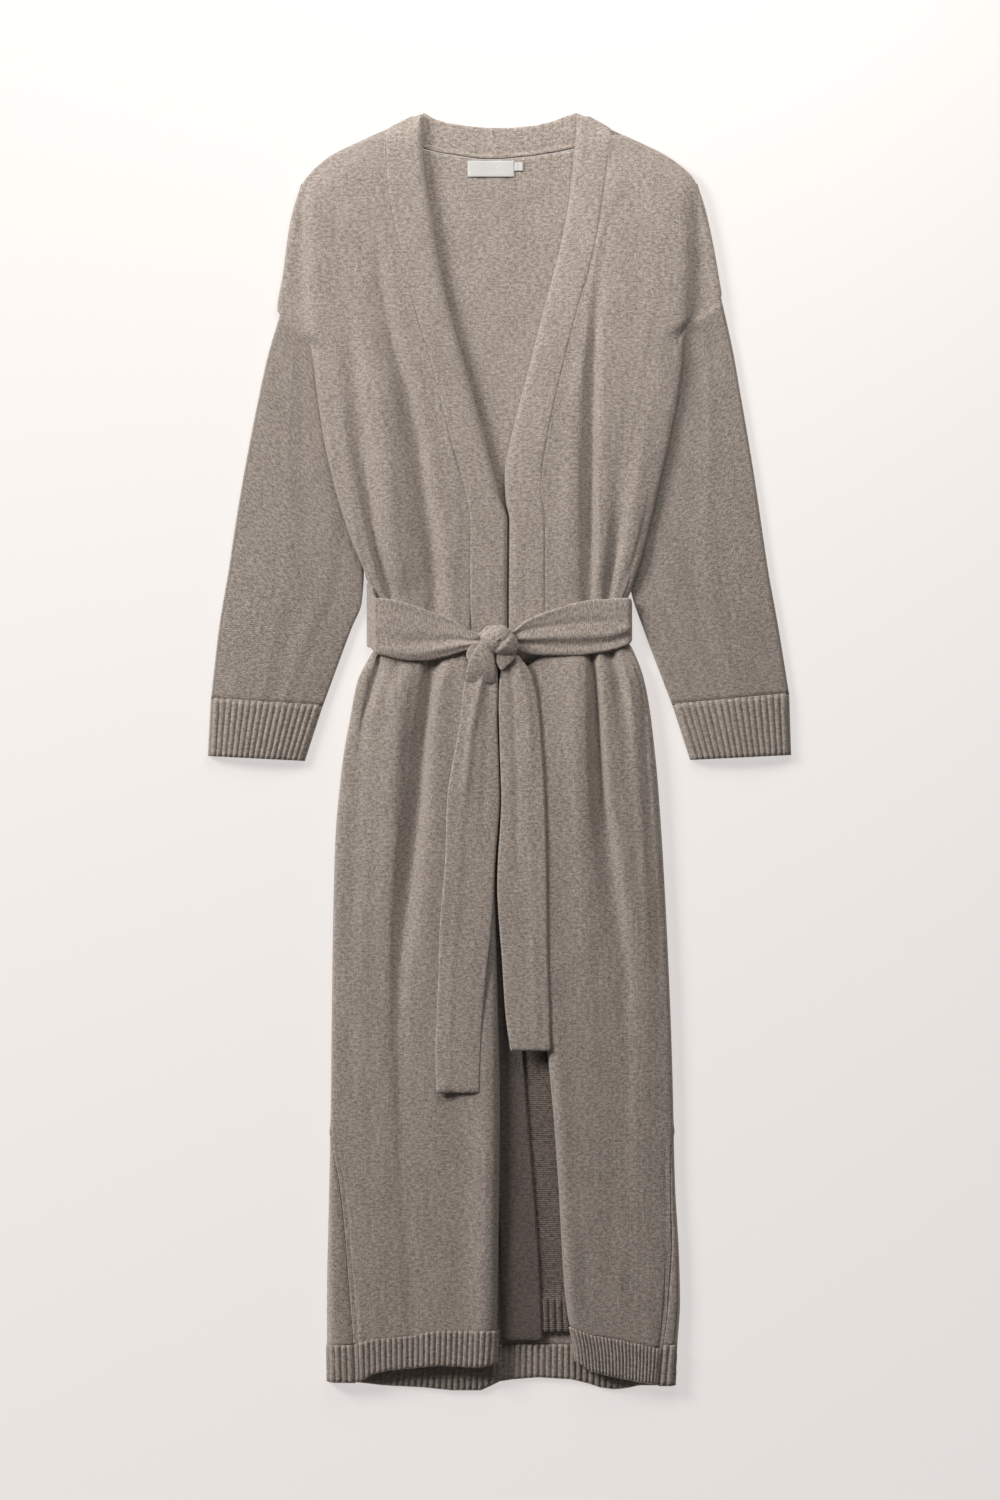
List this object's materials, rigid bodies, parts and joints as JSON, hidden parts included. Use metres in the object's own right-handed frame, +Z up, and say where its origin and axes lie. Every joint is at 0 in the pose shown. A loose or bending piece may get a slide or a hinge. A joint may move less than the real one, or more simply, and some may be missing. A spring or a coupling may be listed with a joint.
{
  "type": "cardigan",
  "caption": "Long belted open-front knit cardigan laid flat, with drop shoulders, plain front bands, ribbed cuffs and hem, and a tied waist belt",
  "frame": {"origin": "centre of the bounding box's underside, on the surface that the cardigan lies on", "axes": "+X to the wearer's left, +Y from the hem towards the shoulders, +Z up from the surface, out of the front"},
  "size_m": [0.5714, 1.2496, 0.036],
  "materials": {
    "knit": "heathered taupe fine-gauge wool knit, matt with a soft nap",
    "knit_rib": "heathered taupe ribbed wool knit, matt",
    "knit_inside": "purl side of the heathered taupe knit, matt",
    "knit_belt": "heathered taupe double knit, matt with a soft nap",
    "label_tape": "bare off-white woven tape, smooth"
  },
  "bodies": {
    "root": {"back_panel": "knit", "back_hem_rib": "knit_rib", "back_neck_band": "knit", "back_pleat": "knit_inside", "front_right_panel": "knit", "front_left_panel": "knit", "front_right_hem_rib": "knit_rib", "front_left_hem_rib": "knit_rib", "front_right_band": "knit", "front_left_band": "knit", "sleeve_right": "knit", "sleeve_left": "knit", "cuff_right": "knit_rib", "cuff_left": "knit_rib", "belt_right": "knit_belt", "belt_left": "knit_belt", "belt_knot": "knit_belt", "belt_tail_long": "knit_belt", "belt_tail_short": "knit_belt", "neck_label": "label_tape", "size_tab": "label_tape"}
  },
  "joints": []
}
